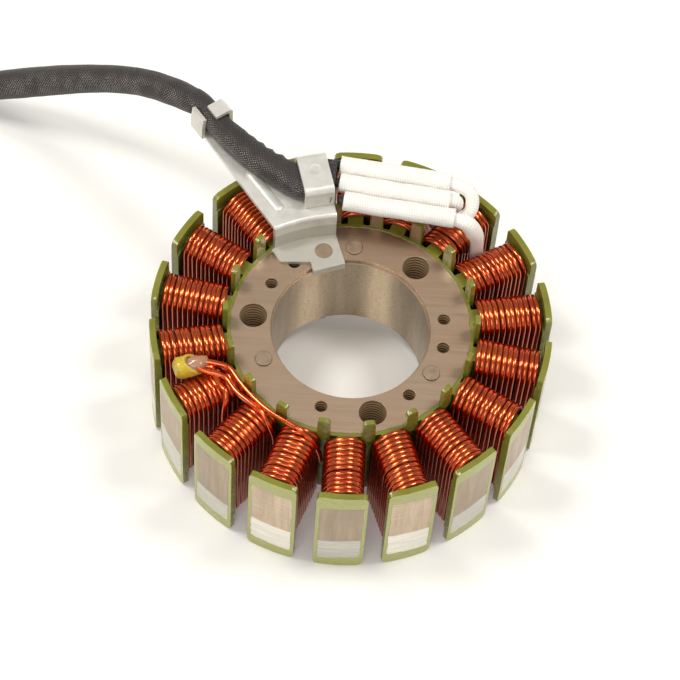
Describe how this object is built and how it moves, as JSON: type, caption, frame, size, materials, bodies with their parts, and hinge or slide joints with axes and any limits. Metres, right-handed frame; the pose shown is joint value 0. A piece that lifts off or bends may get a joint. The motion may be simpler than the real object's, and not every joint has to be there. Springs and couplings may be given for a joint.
{
  "type": "alternator stator",
  "caption": "Ring-shaped alternator stator with wound outer poles, green coated end plates, a folded steel bracket, white insulating sleeves and a braided loom to a connector.",
  "frame": {"origin": "centre of the bore at half the height of the lamination stack", "axes": "+Z along the bore towards the side of the bracket and leads, one pole along -Y"},
  "size_m": [0.2562, 0.1447, 0.0524],
  "materials": {
    "lamination_steel": "satin, bare",
    "green_epoxy": "glossy powder epoxy",
    "enamelled_copper": "clear varnish over enamel",
    "rivet_steel": "satin",
    "zinc_plated_sheet": "satin zinc",
    "white_sleeving": "woven glass sleeving",
    "black_wire": "matte",
    "tinned_joint": "satin",
    "black_braid": "woven braid",
    "yellow_sleeving": "varnished sleeving",
    "natural_nylon": "matte",
    "tinned_brass": "bright"
  },
  "bodies": {
    "root": {"bracket": "zinc_plated_sheet", "bracket_rivet": "rivet_steel", "coil_01": "enamelled_copper", "coil_02": "enamelled_copper", "coil_03": "enamelled_copper", "coil_04": "enamelled_copper", "coil_05": "enamelled_copper", "coil_06": "enamelled_copper", "coil_07": "enamelled_copper", "coil_08": "enamelled_copper", "coil_09": "enamelled_copper", "coil_10": "enamelled_copper", "coil_11": "enamelled_copper", "coil_12": "enamelled_copper", "coil_13": "enamelled_copper", "coil_14": "enamelled_copper", "coil_15": "enamelled_copper", "coil_16": "enamelled_copper", "coil_17": "enamelled_copper", "coil_18": "enamelled_copper", "connector_housing": "natural_nylon", "connector_terminals": "tinned_brass", "connector_wire_1": "black_wire", "connector_wire_2": "black_wire", "connector_wire_3": "black_wire", "core_stack": "lamination_steel", "end_plate_lower": "green_epoxy", "end_plate_upper": "green_epoxy", "feed_wire_1": "black_wire", "feed_wire_2": "black_wire", "feed_wire_3": "black_wire", "lead_sleeve_1": "white_sleeving", "lead_sleeve_2": "white_sleeving", "lead_sleeve_3": "white_sleeving", "loom": "black_braid", "loom_coil": "black_braid", "loom_held": "black_braid", "splice_joint_1": "tinned_joint", "splice_joint_2": "tinned_joint", "splice_joint_3": "tinned_joint", "splice_sleeve_1": "white_sleeving", "splice_sleeve_2": "white_sleeving", "splice_sleeve_3": "white_sleeving", "stack_rivets": "rivet_steel", "star_sleeve": "yellow_sleeving", "star_wire_1": "enamelled_copper", "star_wire_2": "enamelled_copper", "star_wire_3": "enamelled_copper"}
  },
  "joints": []
}
